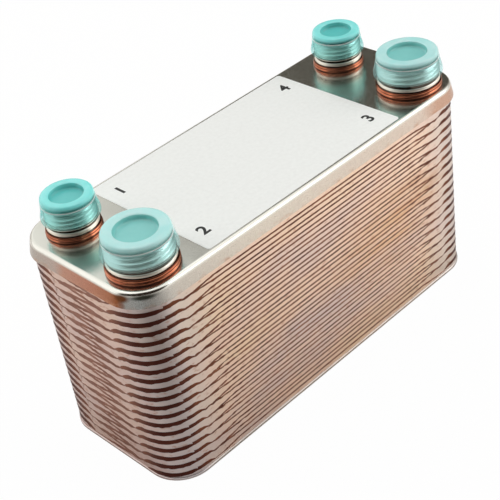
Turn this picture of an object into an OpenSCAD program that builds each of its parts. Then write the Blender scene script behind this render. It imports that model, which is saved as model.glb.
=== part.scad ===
// Brazed plate wort chiller: a counter-flow heat exchanger that cools boiled wort with tap water.
// A pack of nested pressed plates is brazed with copper between a cover plate and a base plate.
// Four threaded stubs stand on the cover, each closed by a push-on cap.
// Millimetres. +X runs along the pack, +Z is up through the stubs, and the origin is the centre
// of the underside of the base plate.

/* [Plate pack] */
// number of channel plates in the pack
plate_count = 40; // [4:2:40]
// rise from one plate to the next
plate_pitch = 2.27; // [2.0:0.01:2.6]
// length of a channel plate over its skirt
plate_len = 188.6; // [170:0.1:220]
// width of a channel plate over its skirt
plate_wid = 73; // [68:0.1:90]
// corner radius of a channel plate over its skirt
corner_r = 15.2; // [13:0.1:20]
// thickness of the plate sheet
sheet_t = 0.4; // [0.3:0.05:0.5]
// height of a channel plate from its skirt to its floor
plate_depth = 4.4; // [3.6:0.1:5]
// outward lean of every skirt, in degrees
skirt_lean = 12; // [11:0.5:15]
// how far the skirt edge stands above the plate's foot along the longer-skirted side
skirt_lift = 0.5; // [0.35:0.05:0.6]
// how much shorter the skirt is on the other long side of each pressing
skirt_step = 0.2; // [0:0.05:0.4]
// how far the skirt hangs below the foot beside the corners of its longer-skirted side
skirt_dip = 0.55; // [0.3:0.05:0.6]
// how far it hangs below the foot on the short sides, beside the other corners
end_dip = 1; // [0.6:0.05:1.05]

/* [Pressed channels] */
// distance between herringbone ribs, square across them
rib_pitch = 10; // [9:0.5:16]
// width of a rib where it leaves the sheet
rib_w = 4.8; // [4:0.1:6]
// width of a rib along its crest
rib_crest_w = 2.2; // [1.5:0.1:3]
// slant of the herringbone from straight across the plate, in degrees
rib_slant = 30; // [20:1:45]
// length of the ribbed field
field_len = 116; // [80:1:120]
// width of the ribbed field
field_wid = 58; // [40:1:60]
// radius of a port hole through the pack
port_hole_r = 9; // [7:0.1:9.4]
// radius of the flat seat pressed down around a closed port
port_seat_r = 12.2; // [11:0.1:13]
// radius where the dished seat leaves the floor of the plate
port_dish_r = 14.2; // [13:0.1:14.5]

/* [Ports] */
// spacing of the ports along the pack
port_spacing_x = 154; // [140:1:160]
// spacing of the ports across the pack
port_spacing_y = 40; // [36:0.5:44]
// radius over the thread of a 1/2 inch wort stub
wort_thread_r = 10.48; // [10:0.01:11]
// bore radius of a wort stub
wort_bore_r = 7.6; // [6:0.1:8.2]
// radius over the thread of a 3/4 inch hose stub
water_thread_r = 13.49; // [13:0.01:14]
// bore radius of a hose stub
water_bore_r = 9.6; // [8:0.1:11]
// height of the copper ring round a wort stub's foot
wort_ring_h = 2.3; // [1.8:0.1:2.9]
// height of the copper ring round a hose stub's foot
water_ring_h = 2.8; // [1.8:0.1:2.9]
// height of a stub above the cover plate
stub_h = 12.2; // [11.6:0.1:18]
// height of the thread's lower end above the cover plate
thread_z0 = 4.6; // [4:0.1:6]
// height of the full thread's upper end above the cover plate
thread_z1 = 9.4; // [8.8:0.1:10.4]

/* [Covers] */
// thickness of the pressed cover plate
cover_t = 0.9; // [0.8:0.05:1.1]
// how far the cover's skirt reaches down past the top channel plate's
cover_overlap = 1.2; // [0.9:0.05:1.6]
// outer radius of the bend round the cover plate's top edge
cover_bend_r = 1.7; // [1.3:0.1:2.4]
// thickness of the flat base plate
base_t = 1.1; // [0.8:0.1:3]
// how far the base plate stands out past the plate edges
base_lip = 0.4; // [0.35:0.05:1.5]

/* [Caps] */
// thickness of a cap's wall at its open end
cap_wall = 0.7; // [0.6:0.05:1.5]
// gap between a thread and the cap around it
cap_clearance = 0.6; // [0.6:0.05:1]
// height of a cap's lower rim above the cover plate
cap_z0 = 6.2; // [4.8:0.1:6.8]
// depth of the round recess in a cap's crown
cap_recess = 2.4; // [1:0.1:3]
// thickness of the floor of that recess
cap_floor = 1.1; // [0.8:0.1:2]

/* [Label] */
// length of the blank label
label_len = 110; // [60:1:112]
// thickness of the label
label_t = 0.15; // [0.1:0.05:0.3]

/* [Hidden] */
$fn = 96;

lean_run = tan(skirt_lean);                 // outward run of a skirt for each mm down
skirt_w = sheet_t / cos(skirt_lean);        // a plate skirt measured level
cover_w = cover_t / cos(skirt_lean);        // the cover's skirt measured level
nest_gap = 0.05;                            // cover skirt to the plate edge inside it
braze_gap = 0.02;                           // braze to the slanted sheet beside it
corner_x = plate_len / 2 - corner_r;        // corner centres, shared by every pressing
corner_y = plate_wid / 2 - corner_r;

floor_top = plate_depth;                    // heights in a plate's own frame, skirt edge at 0
floor_low = plate_depth - sheet_t;
channel_h = plate_pitch - sheet_t;          // free height between two plate floors
rib_gap = 0.03;                             // rib crest to the floor it is brazed to
rib_h = channel_h - rib_gap;
bend_in = 0.45;                             // chamfer round the inside of a plate's bend
bend_out = 0.7;                             // chamfer round the outside of a plate's bend

low_lift = 0.42 * plate_pitch;              // the skirt edge is lifted by this at the -Y corners
high_lift = 0.66 * plate_pitch;             // and by this at the +Y corners
near_lift = 0.53 * plate_pitch;             // beside those, along the +Y side
corner_zone = 4.4;                          // a lifted corner slopes away over this, past its arc
close_zone = 8;                             // from there to here two neighbours' edges run close
ramp_zone = 20;                             // and here they have spread to their usual spacing
end_zone = 13;                              // the short sides' edge is level as far as this

cover_z0 = plate_z(plate_count) - cover_overlap;
cover_z1 = plate_z(plate_count) + plate_depth + cover_t;
cover_depth = cover_z1 - cover_z0;
cover_edge = corner_r + nest_gap + cover_overlap * lean_run + cover_w; // from the corner centre
bend_x = cover_edge - (cover_depth - cover_bend_r) * lean_run - cover_bend_r / cos(skirt_lean);

port_x = port_spacing_x / 2;
port_y = port_spacing_y / 2;
spigot_wall = 1.6;                          // stub spigot through the cover's hole
spigot_gap = 0.03;
groove_d = 0.4;                             // undercut below a stub's thread
groove_z0 = 2.95;
groove_z1 = 3.55;
neck_d = 0.2;                               // relief below the thread, to about its root
lead_d = 0.25;                              // taper over the last of the thread
stub_edge = 0.45;                           // chamfer of the stub's top edges
ring_out = 0.84;                            // copper ring's lower bead past the thread's radius
ring_over = 0.06;                           // centre of its upper bead past the thread's radius
seam_drop = 0.45;                           // height of a fillet under a plate's skirt edge
seam_t = 0.28;                              // its thickness on the skirt below
seam_tuck = 0.08;                           // its top stays this far under a sloping edge
end_start = 7;                              // on a short side it starts this far past the arc
cover_drop = 0.6;                           // height of the fillet under the cover's skirt
foot_run = 0.33;                            // height and reach of the fillet on the base plate
cap_float = 0.3;                            // crown to stub at rest
cap_grip = 0.05;                            // a cap's upper bore to the thread's start

label_wid = 2 * (corner_y + bend_x) - 1;    // all but the width of the flat between the bends
label_x = -2.3;
label_r = 1.2;

ports = ["wort_in", "wort_out", "water_in", "water_out"];
function is_wort(p) = p == "wort_in" || p == "wort_out";
function port_pos(p) = [p == "wort_in" || p == "water_out" ? port_x : -port_x,
                        is_wort(p) ? port_y : -port_y];
function thread_r(p) = is_wort(p) ? wort_thread_r : water_thread_r;
function bore_r(p) = is_wort(p) ? wort_bore_r : water_bore_r;
function crown_r(p) = thread_r(p) + (is_wort(p) ? -0.1 : -0.35);
function recess_r(p) = is_wort(p) ? 6.7 : 8.4;
function ring_h(p) = is_wort(p) ? wort_ring_h : water_ring_h;
function plate_name(i) = str("plate_", i < 10 ? "0" : "", i);
function plate_z(i) = base_t + (i - 1) * plate_pitch;
function flipped(i) = i % 2 == 1;           // odd plates are the same pressing turned half round

// ---- sweeps round the pack: a profile's x is measured out from the line of corner centres ----

// part of an arc, between two angles from the corner's start
module arc_part(c, from, to) {
    translate([c == 0 || c == 3 ? corner_x : -corner_x, c < 2 ? corner_y : -corner_y, 0])
        rotate([0, 0, 90 * c + from]) rotate_extrude(angle = to - from) children();
}

// a straight run along side s (0 = +Y, 1 = -X, 2 = -Y, 3 = +X), from a to b along that side
module along_side(s, a, b) {
    out = s % 2 == 0 ? corner_y : corner_x;
    rotate([0, 0, 90 * (s + 1)]) translate([out, a, 0])
        rotate([90, 0, 0]) mirror([0, 0, 1]) linear_extrude(height = b - a) children();
}

function side_half(s) = s % 2 == 0 ? corner_x : corner_y;

module all_round() {
    for (c = [0 : 3]) {
        arc_part(c, 0, 90) children();
        along_side(c, -side_half(c), side_half(c)) children();
    }
}

// ---- channel plates ----

// half a channel plate's section, its skirt cut level at height e
module plate_profile(e) {
    polygon([
        [0, floor_top],
        [corner_r - floor_top * lean_run - bend_out, floor_top],
        [corner_r - (floor_top - bend_out) * lean_run, floor_top - bend_out],
        [corner_r - e * lean_run, e],
        [corner_r - e * lean_run - skirt_w, e],
        [corner_r - skirt_w - (floor_low - bend_in) * lean_run, floor_low - bend_in],
        [corner_r - skirt_w - floor_low * lean_run - bend_in, floor_low],
        [0, floor_low]
    ]);
}

module plate_pan(edge) {
    all_round() plate_profile(edge);
    translate([-corner_x, -corner_y, floor_low]) cube([2 * corner_x, 2 * corner_y, sheet_t]);
}

// heights of the skirt edge, as [distance past the arc, height] from a corner to mid-side; a distance
// below zero lies beside the arc
low_line = [[-2 * corner_r, skirt_lift], [-0.85 * corner_r, skirt_lift], [-0.4 * corner_r, low_lift],
            [0, low_lift], [0.45 * corner_zone, 0.6 * low_lift], [corner_zone, -skirt_dip],
            [close_zone, -skirt_dip], [ramp_zone, skirt_lift]];
high_line = [[-2 * corner_r, 0], [-corner_r, 0.2 * high_lift], [-0.72 * corner_r, 0.8 * high_lift],
             [-0.4 * corner_r, high_lift], [0, high_lift], [corner_zone, near_lift],
             [close_zone, near_lift], [ramp_zone, skirt_lift + skirt_step]];

// the same along a short side, as [place along it, height] from its -Y corner to its +Y corner
end_line = [[-corner_y - 2 * corner_r, skirt_lift], [end_zone - corner_y, skirt_lift],
            [corner_y - 1.9 * corner_zone, -end_dip], [corner_y - 1.4 * corner_zone, -end_dip],
            [corner_y - corner_zone, -0.6 * end_dip], [corner_y, 0.23 * high_lift],
            [corner_y + 0.26 * corner_r, 0.57 * high_lift], [corner_y + 0.68 * corner_r, 0.83 * high_lift],
            [corner_y + 2 * corner_r, 1.4 * high_lift]];

function both_ways(line) = concat([for (t = line) [t[0] - corner_x, t[1]]],
                                  [for (k = [len(line) - 1 : -1 : 0]) [corner_x - line[k][0], line[k][1]]]);

// everything outside a long side and its two corners that lies below the edge line
module trim_long(line) {
    far = corner_x + 2 * corner_r;
    translate([0, -corner_y, 0]) rotate([90, 0, 0]) linear_extrude(height = 2 * corner_r)
        polygon(concat([[-far, -plate_depth]], both_ways(line), [[far, -plate_depth]]));
}

// the same for a short side
module trim_short() {
    far = corner_y + 2 * corner_r;
    translate([corner_x, 0, 0]) rotate([90, 0, 90]) linear_extrude(height = 2 * corner_r)
        polygon(concat([[-far, -plate_depth]], end_line, [[far, -plate_depth]]));
}

module skirt_trims() {
    trim_long(low_line);
    mirror([0, 1, 0]) trim_long(high_line);
    trim_short();
    mirror([1, 0, 0]) trim_short();
}

module rib_bar(w, crest) {
    rotate([90, 0, 0]) linear_extrude(height = 2 * field_wid, center = true)
        polygon([[-w / 2, 0], [w / 2, 0], [crest / 2, -rib_h], [-crest / 2, -rib_h]]);
}

// herringbone ribs hanging below z = 0, with their ends set in from the field's edge
module herringbone(w, crest, inset) {
    step = rib_pitch / cos(rib_slant);
    spread = field_wid / 2 * tan(rib_slant);
    count = ceil((field_len / 2 + spread) / step);
    for (side = [0, 1]) mirror([0, side, 0]) intersection() {
        translate([inset - field_len / 2, 0, -2 * rib_h])
            cube([field_len - 2 * inset, field_wid / 2 - inset, 4 * rib_h]);
        for (i = [-count : count]) translate([i * step, 0, 0])
            rotate([0, 0, rib_slant]) rib_bar(w, crest);
    }
}

// a port seat dished down to the plate below, which shuts this channel off from the port
module port_dish(hole) {
    low = floor_low - channel_h;
    lap = 0.1;                              // the dish runs this far into the floor round it
    rotate_extrude() polygon([
        [hole, low], [port_seat_r - sheet_t / 2, low], [port_dish_r - sheet_t / 2, floor_low],
        [port_dish_r + lap, floor_low], [port_dish_r + lap, floor_top],
        [port_dish_r, floor_top], [port_seat_r, low + sheet_t], [hole, low + sheet_t]
    ]);
}

// the lowest plate has no port holes, and its skirt is trimmed level to stand on the base
module channel_plate(lowest) {
    color("#b9a79b") difference() {
        union() {
            difference() {
                plate_pan(lowest ? 0 : -max(skirt_dip, end_dip));
                if (!lowest) skirt_trims();
                for (x = [-port_x, port_x]) translate([x, port_y, floor_low - 1])
                    cylinder(r = port_dish_r, h = sheet_t + 2);
                if (!lowest) for (x = [-port_x, port_x]) translate([x, -port_y, floor_low - 1])
                    cylinder(r = port_hole_r, h = sheet_t + 2);
            }
            for (x = [-port_x, port_x]) translate([x, port_y, 0])
                port_dish(lowest ? 0 : port_hole_r);
            translate([0, 0, floor_low]) herringbone(rib_w, rib_crest_w, 0);
        }
        translate([0, 0, floor_top]) herringbone(rib_w - sheet_t, rib_crest_w - sheet_t, sheet_t);
    }
}

module plate(i) {
    translate([0, 0, plate_z(i)]) rotate([0, 0, flipped(i) ? 180 : 0]) channel_plate(i == 1);
}

// ---- base and cover ----

module base_plate() {
    edge = corner_r + base_lip;
    chamfer = 0.25;
    color("#c9c3bb") {
        all_round() polygon([[0, 0], [edge - chamfer, 0], [edge, chamfer], [edge, base_t], [0, base_t]]);
        translate([-corner_x, -corner_y, 0]) cube([2 * corner_x, 2 * corner_y, base_t]);
    }
}

// one sheet bent down over the pack: a flat top, a round bend and a leaning skirt
module cover_profile() {
    bend_z = cover_depth - cover_bend_r;
    in_r = cover_bend_r - cover_t;
    c = cos(skirt_lean);
    s = sin(skirt_lean);
    difference() {
        union() {
            polygon([[0, 0], [cover_edge, 0], [bend_x + cover_bend_r * c, bend_z + cover_bend_r * s],
                     [bend_x, bend_z], [bend_x, cover_depth], [0, cover_depth]]);
            translate([bend_x, bend_z]) circle(r = cover_bend_r);
        }
        polygon([[-1, -1], [cover_edge - cover_w + lean_run, -1], [bend_x + in_r * c, bend_z + in_r * s],
                 [bend_x, bend_z], [bend_x, bend_z + in_r], [-1, bend_z + in_r]]);
        translate([bend_x, bend_z]) circle(r = in_r);
    }
}

module cover_plate() {
    color("#cfcbc4") difference() {
        translate([0, 0, cover_z0]) {
            all_round() cover_profile();
            translate([-corner_x, -corner_y, cover_depth - cover_t])
                cube([2 * corner_x, 2 * corner_y, cover_t]);
        }
        for (p = ports) translate([port_pos(p)[0], port_pos(p)[1], cover_z1 - cover_t - 1])
            cylinder(r = bore_r(p) + spigot_wall + spigot_gap, h = cover_t + 2);
    }
}

// ---- copper ----

// copper on the skirt of the plate below, between two lines of [place along the side, height]
module ribbon(side, top, bottom) {
    out = side_half(side + 1) + corner_r - plate_pitch * lean_run + braze_gap;
    rotate([0, 0, 90 * (side + 1)]) translate([out, 0, 0]) rotate([0, -skirt_lean, 0])
        rotate([90, 0, 90]) linear_extrude(height = seam_t)
            polygon(concat([for (t = top) [t[0], (t[1] - seam_tuck) / cos(skirt_lean)]],
                           [for (k = [len(bottom) - 1 : -1 : 0])
                               [bottom[k][0], bottom[k][1] / cos(skirt_lean)]]));
}

function lowered(line) = [for (t = line) [t[0], t[1] - seam_drop]];
function part_of(line, first, last) = [for (k = [first : last]) line[k]];

// fillet under a skirt edge that is level round a part of an arc
module seam_profile(lift) {
    lip = 0.06;
    inner = corner_r - (plate_pitch + lift) * lean_run + braze_gap;
    outer = corner_r - lift * lean_run - 0.12;
    foot = inner + seam_drop * lean_run;
    polygon([[inner, lift], [outer, lift], [foot + lip, lift - seam_drop], [foot, lift - seam_drop]]);
}

// band over the skirt of the plate below, from that plate's own edge up to this one's
module band_profile(top, bottom) {
    swell = 0.18;
    below = corner_r - plate_pitch * lean_run + braze_gap;
    polygon([[below - top * lean_run, top], [corner_r - top * lean_run - 0.1, top],
             [corner_r - (top - 0.5) * lean_run - swell, top - 0.5],
             [below - bottom * lean_run + 0.14, bottom], [below - bottom * lean_run, bottom]]);
}

// fillet between the base plate and the lowest plate's skirt
module foot_profile() {
    polygon([[corner_r + braze_gap, 0], [corner_r + foot_run, 0], [corner_r - 0.05, foot_run]]);
}

// fillet under the cover's skirt
module cover_seam_profile() {
    inner = corner_r - (plate_pitch - cover_overlap) * lean_run + braze_gap;
    lip = 0.08;
    foot = inner + cover_drop * lean_run;
    polygon([[inner, 0], [cover_edge - 0.25, 0], [foot + lip, -cover_drop], [foot, -cover_drop]]);
}

// one plate's copper, in the pressing's own frame
module plate_seam() {
    low = both_ways(part_of(low_line, 3, 7));
    high = both_ways(part_of(high_line, 4, 7));
    band_low = high_lift - plate_pitch;
    ribbon(2, low, concat([[-corner_x, band_low]], lowered(part_of(low, 2, 7)), [[corner_x, band_low]]));
    ribbon(0, high, lowered(high));
    end = concat([[end_start - corner_y, skirt_lift]], part_of(end_line, 1, 5));
    ribbon(3, end, lowered(end));
    mirror([1, 0, 0]) ribbon(3, end, lowered(end));
    for (s = [0, 1]) mirror([s, 0, 0]) {
        arc_part(3, 0.1, 60) band_profile(skirt_lift, band_low);
        mirror([0, 1, 0]) arc_part(3, 0.1, 23) seam_profile(high_lift);
    }
}

module braze_seams() {
    color("#8a4a38") {
        translate([0, 0, base_t]) all_round() foot_profile();
        for (i = [2 : plate_count - 1]) translate([0, 0, plate_z(i)])
            rotate([0, 0, flipped(i) ? 180 : 0]) plate_seam();
        translate([0, 0, cover_z0]) all_round() cover_seam_profile();
    }
}

// ---- stubs, their copper rings and their caps, each about its own port axis, z = 0 on the cover ----

module at_port(p) {
    translate([port_pos(p)[0], port_pos(p)[1], cover_z1]) children();
}

module stub(p) {
    r = thread_r(p);
    spigot_r = bore_r(p) + spigot_wall;
    color("#d2cdc4") at_port(p) rotate_extrude() polygon([
        [bore_r(p), -cover_t], [spigot_r, -cover_t], [spigot_r, 0], [r, 0], [r, groove_z0],
        [r - groove_d, groove_z0 + groove_d / 2], [r - groove_d, groove_z1],
        [r - neck_d, groove_z1 + groove_d - neck_d], [r - neck_d, thread_z0], [r, thread_z0],
        [r, thread_z1], [r - lead_d, stub_h - stub_edge], [r - lead_d - stub_edge, stub_h],
        [bore_r(p) + stub_edge, stub_h], [bore_r(p), stub_h - stub_edge]
    ]);
}

// two beads of copper round the foot of a stub
module braze_ring(p) {
    r = thread_r(p);
    bead = 0.28 * ring_h(p);
    bead2 = 0.24 * ring_h(p);
    x1 = r + ring_out - bead;
    x2 = r + ring_over;
    color("#b0623f") at_port(p) rotate_extrude() intersection() {
        translate([r + braze_gap, 0]) square([2 * ring_out, ring_h(p)]);
        union() {
            translate([x1, bead]) circle(r = bead, $fn = 48);
            translate([r, 0]) square([max(x1, x2) - r, ring_h(p) - bead2]);
            translate([x2, ring_h(p) - bead2]) circle(r = bead2, $fn = 48);
        }
    }
}

module cap(p) {
    r = thread_r(p);
    in_r = r + cap_clearance;               // over the full thread, where the rim flares
    out_r = in_r + cap_wall;
    crown = crown_r(p);
    ceil_z = stub_h + cap_float;
    floor_z = ceil_z + cap_floor;
    top = floor_z + cap_recess;
    edge = 0.15;
    color("#7fd8cf") at_port(p) rotate_extrude() polygon([
        [in_r + edge, cap_z0], [out_r - edge, cap_z0], [out_r, cap_z0 + edge], [out_r, cap_z0 + 1.6],
        [out_r - 0.25, thread_z1 - 0.9], [r + 0.62, thread_z1 + 0.55], [r + 0.5, thread_z1 + 1.2],
        [crown + 0.3, ceil_z + 0.6], [crown + 0.05, top - 1], [crown - edge, top - 0.4],
        [crown - 0.65, top], [recess_r(p) + 0.3, top], [recess_r(p), top - 0.3],
        [recess_r(p) - 0.2, floor_z], [0, floor_z], [0, ceil_z], [r - 0.45, ceil_z],
        [r - 0.08, stub_h - 1], [r + cap_grip, thread_z1 + 0.55], [in_r, thread_z1 + cap_grip],
        [in_r, cap_z0 + edge]
    ]);
}

// ---- label ----

module label() {
    color("#eceeec") translate([label_x, 0, cover_z1]) linear_extrude(height = label_t) {
        square([label_len - 2 * label_r, label_wid], center = true);
        square([label_len, label_wid - 2 * label_r], center = true);
        for (x = [-1, 1], y = [-1, 1])
            translate([x * (label_len / 2 - label_r), y * (label_wid / 2 - label_r)]) circle(r = label_r);
    }
}

// ---- the assembly ----

for (i = [1 : plate_count]) plate(i);
base_plate();
cover_plate();
braze_seams();
label();
for (p = ports) {
    stub(p);
    braze_ring(p);
    cap(p);
}
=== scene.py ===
# %% [markdown]
# # A brazed plate wort chiller
# Hot wort runs through every second gap of a pack of thin pressed plates, and cold water through the
# gaps between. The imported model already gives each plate, stub and cap its place and size. These cells
# give them their finish, and make again the pieces whose surface a solid model leaves too plain.

import math

import bmesh
import bpy
import numpy as np
from mathutils import Matrix, Vector
from mathutils.geometry import tessellate_polygon


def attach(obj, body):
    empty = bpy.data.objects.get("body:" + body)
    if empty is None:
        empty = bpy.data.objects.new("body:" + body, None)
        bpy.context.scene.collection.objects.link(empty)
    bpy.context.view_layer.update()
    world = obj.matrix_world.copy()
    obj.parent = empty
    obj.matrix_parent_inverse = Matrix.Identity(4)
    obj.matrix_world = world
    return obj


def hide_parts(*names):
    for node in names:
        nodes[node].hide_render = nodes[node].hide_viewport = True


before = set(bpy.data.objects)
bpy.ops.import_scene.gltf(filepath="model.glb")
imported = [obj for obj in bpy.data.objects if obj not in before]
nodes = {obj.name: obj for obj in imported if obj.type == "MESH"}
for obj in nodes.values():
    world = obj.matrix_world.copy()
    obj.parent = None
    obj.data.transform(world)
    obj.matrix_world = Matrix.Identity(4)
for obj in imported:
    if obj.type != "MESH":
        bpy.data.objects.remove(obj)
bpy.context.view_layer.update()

# %% [markdown]
# ## Sizes
# Sizes are in millimetres, as on a drawing, and become metres once, when a mesh is made. They could be
# read off the loaded meshes, but written out they serve in formulas: the pack is a rounded rectangle,
# and everything round its rim is an offset from the centres of its four corner arcs.

# %% Sizes of the pack and its cover
MM = 0.001
PLATES, PITCH, BASE_T, PLATE_DEPTH = 40, 2.27, 1.1, 4.4
PLATE_LEN, PLATE_WID, CORNER_R = 188.6, 73.0, 15.2
CENTRE_X, CENTRE_Y = PLATE_LEN / 2 - CORNER_R, PLATE_WID / 2 - CORNER_R
LEAN_ANGLE = math.radians(12)  # every skirt leans out by this
LEAN = math.tan(LEAN_ANGLE)
COVER_T, COVER_BEND, COVER_OVERLAP, COVER_PLAY = 0.9, 1.7, 1.2, 0.05


def plate_z(i):
    """Height of plate i: the base's thickness + (i - 1) x the pitch."""
    return BASE_T + (i - 1) * PITCH


COVER_LOW = plate_z(PLATES) - COVER_OVERLAP
COVER_TOP = plate_z(PLATES) + PLATE_DEPTH + COVER_T
COVER_EDGE = CORNER_R + COVER_PLAY + COVER_OVERLAP * LEAN + COVER_T / math.cos(LEAN_ANGLE)
print("cover plate top at", round(COVER_TOP, 2), "mm")

# %% [markdown]
# The wort ports have the smaller stubs and the water ports the larger ones. A dictionary for each kind
# keeps its sizes together. Heights are counted from the top of the cover plate.

# %% Sizes of the ports
WORT = {"thread_r": 10.48, "bore_r": 7.6, "pitch": 1.81, "ring_h": 2.3, "recess_r": 6.7,
        "land": (2.75, 4.1), "ridge": (5.2, 5.65)}  # land and ridge: low and high edge on the neck
WATER = {"thread_r": 13.49, "bore_r": 9.6, "pitch": 2.21, "ring_h": 2.8, "recess_r": 8.4,
         "land": (3.2, 4.4), "ridge": (6.0, 6.3)}
PORTS = {"wort_in": (77, 20, WORT), "wort_out": (-77, 20, WORT),
         "water_in": (-77, -20, WATER), "water_out": (77, -20, WATER)}
STUB_H = 12.2
print(len(PORTS), "ports")

# %% [markdown]
# ## Camera
# The camera looks down on the near left corner through a longish lens, rolled a little to the left. It
# could be turned by hand, but its three directions follow from azimuth, elevation and roll, and as the
# columns of a matrix they put it in place exactly.

# %% Camera
azimuth, elevation, roll = (math.radians(a) for a in (-40.2493, 35.7899, -9.0689))
aim, distance = Vector((-129.6307, -142.6979, 185.228)), 288.5907
focal_pixels, image_pixels, sensor_width = 1226.2676, 500, 36
back = Vector((math.sin(azimuth) * math.cos(elevation), -math.cos(azimuth) * math.cos(elevation),
               math.sin(elevation)))
level = Vector((math.cos(azimuth), math.sin(azimuth), 0))
upward = back.cross(level)
right = math.cos(roll) * level + math.sin(roll) * upward
up = -math.sin(roll) * level + math.cos(roll) * upward
place = (aim + back * distance) * MM

camera = bpy.data.objects.new("camera", bpy.data.cameras.new("camera"))
bpy.context.scene.collection.objects.link(camera)
camera.matrix_world = Matrix.Translation(place) @ Matrix((right, up, back)).transposed().to_4x4()
camera.data.sensor_width = sensor_width
camera.data.lens = focal_pixels / image_pixels * sensor_width
camera.data.clip_start, camera.data.clip_end = 0.02, 20
bpy.context.scene.camera = camera
print("camera at", [round(v, 3) for v in place], "lens", round(camera.data.lens, 1))

# %% [markdown]
# ## Surfaces from grids
# A new piece is a grid of points: rows run along a path or round an axis, columns along a profile. The
# points come from whole-array formulas, and every four neighbours are joined by a quad. A closed path
# joins its last row to its first, so the surface has no seam.

# %% Grids to meshes
def grid_faces(rows, cols, wrap_rows, wrap_cols):
    """Quads of a rows x cols grid, as rows of point numbers: (r, c), (r, c+1), (r+1, c+1), (r+1, c)."""
    r = np.arange(rows if wrap_rows else rows - 1)[:, None]
    c = np.arange(cols if wrap_cols else cols - 1)[None, :]
    r2, c2 = (r + 1) % rows, (c + 1) % cols
    return np.stack([r * cols + c, r * cols + c2, r2 * cols + c2, r2 * cols + c], -1).reshape(-1, 4)


def make_piece(name, points, faces, smooth_angle=35):
    """Points in millimetres and faces become a smooth-shaded object at the origin, sharp past an angle."""
    mesh = bpy.data.meshes.new(name)
    mesh.from_pydata((np.asarray(points, float).reshape(-1, 3) * MM).tolist(), [], [list(f) for f in faces])
    mesh.validate()
    mesh.shade_smooth()
    if smooth_angle:
        mesh.set_sharp_from_angle(angle=math.radians(smooth_angle))
    piece = bpy.data.objects.new(name, mesh)
    bpy.context.scene.collection.objects.link(piece)
    return piece


print("a closed grid of 3 x 4 points has", len(grid_faces(3, 4, True, True)), "quads")

# %% [markdown]
# ## Finishes
# Colours are written as sRGB hex, as on a paint card. The shader works in linear light, where numbers add
# up as light does, so one function turns hex to linear.

# %% Colours
def paint(hex_code):
    """sRGB hex to linear RGBA: c/12.92 below 0.04045, else ((c + 0.055)/1.055) to the power 2.4."""
    srgb = [int(hex_code[i:i + 2], 16) / 255 for i in (1, 3, 5)]
    return [c / 12.92 if c <= 0.04045 else ((c + 0.055) / 1.055) ** 2.4 for c in srgb] + [1.0]


print("mid grey #808080 is", round(paint("#808080")[0], 3), "in linear light")

# %% [markdown]
# A finish is a small tree of nodes. They could be drawn in the shader editor, but one function that adds
# a node, sets its options and plugs in its inputs makes each recipe a few lines of text.

# %% Nodes
def add(tree, kind, inputs=(), out=0, stops=(), **settings):
    """Adds a node and gives back one of its outputs. Inputs go by order or by name, and each is a value,
    a hex colour or another node's output. Stops are a colour ramp's (position, hex) pairs."""
    node = tree.nodes.new("ShaderNode" + kind)
    for key, value in settings.items():
        setattr(node, key, value)
    for key, value in (inputs if isinstance(inputs, dict) else dict(enumerate(inputs))).items():
        if isinstance(value, bpy.types.NodeSocket):
            tree.links.new(value, node.inputs[key])
        else:
            node.inputs[key].default_value = paint(value) if isinstance(value, str) else value
    if stops:
        bar = node.color_ramp.elements
        while len(bar) < len(stops):
            bar.new(0.5)
        for element, (position, colour) in zip(bar, stops):
            element.position, element.color = position, paint(colour)
    return node.outputs[out] if len(node.outputs) else None


def new_material(name):
    """An empty material, its tree, and the Object coordinates that its patterns read."""
    material = bpy.data.materials.new(name)
    material.use_nodes = True
    material.node_tree.nodes.clear()
    return material, material.node_tree, add(material.node_tree, "TexCoord", out="Object")


def dress(piece, *materials):
    """Puts the materials in the piece's slots, in order; clearing the slots would reset the faces."""
    while len(piece.data.materials) > len(materials):
        piece.data.materials.pop()
    while len(piece.data.materials) < len(materials):
        piece.data.materials.append(None)
    for k, material in enumerate(materials):
        piece.data.materials[k] = material


print("a plate has", len(nodes["plate_01"].data.materials), "material slot")

# %% [markdown]
# Stains, scale and polish are each a colour laid over another by a mask, a number from 0 to 1 at each
# point. Masks could be painted by hand on an image, but as formulas they stay sharp at any size: they
# follow a height, a noise or the distance from a place, and can be multiplied.

# %% Masks and coats
def where(tree, *steps):
    """A mask, the product of its steps. A step is a value, or (value, start, end, low, high), which runs
    smoothly from low to high, or 0 to 1, while the value goes from start to end."""
    mask = None
    for step in steps:
        if isinstance(step, tuple):
            step = add(tree, "MapRange", step, interpolation_type="SMOOTHSTEP")
        mask = step if mask is None else add(tree, "Math", (mask, step), operation="MULTIPLY")
    return mask


def either(tree, *masks):
    """The greatest of several masks at each point."""
    most = masks[0]
    for mask in masks[1:]:
        most = add(tree, "Math", (most, mask), operation="MAXIMUM")
    return most


def coats(tree, ground, *laid_over):
    """Coats of (mask, colour), one over another: ground x (1 - mask) + colour x mask."""
    for mask, colour in laid_over:
        ground = add(tree, "Mix", {"Factor": mask, 6: ground, 7: colour}, 2, data_type="RGBA")
    return ground


def blot(tree, place_on, centre, reach, full=0.3):
    """A soft ellipsoid about a point: the length of (place - centre) / reach, made 1 up to full and
    0 past 1. Centre and reach are in millimetres."""
    away = add(tree, "VectorMath", (place_on, Vector(centre) * MM), operation="SUBTRACT")
    share = add(tree, "VectorMath", (away, Vector(reach) * MM), operation="DIVIDE")
    length = add(tree, "VectorMath", (share,), "Value", operation="LENGTH")
    return where(tree, (length, full, 1.0, 1.0, 0.0))


def clouds(tree, place_on, per_metre, detail=3.0, roughness=0.55):
    """Noise with that many waves to a metre along x, y and z."""
    scaled = add(tree, "Mapping", {"Vector": place_on, "Scale": per_metre})
    return add(tree, "TexNoise", {"Vector": scaled, "Scale": 1.0, "Detail": detail, "Roughness": roughness})


print("noise of 14 waves to a metre has drifts", round(1000 / 14), "mm long")

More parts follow.
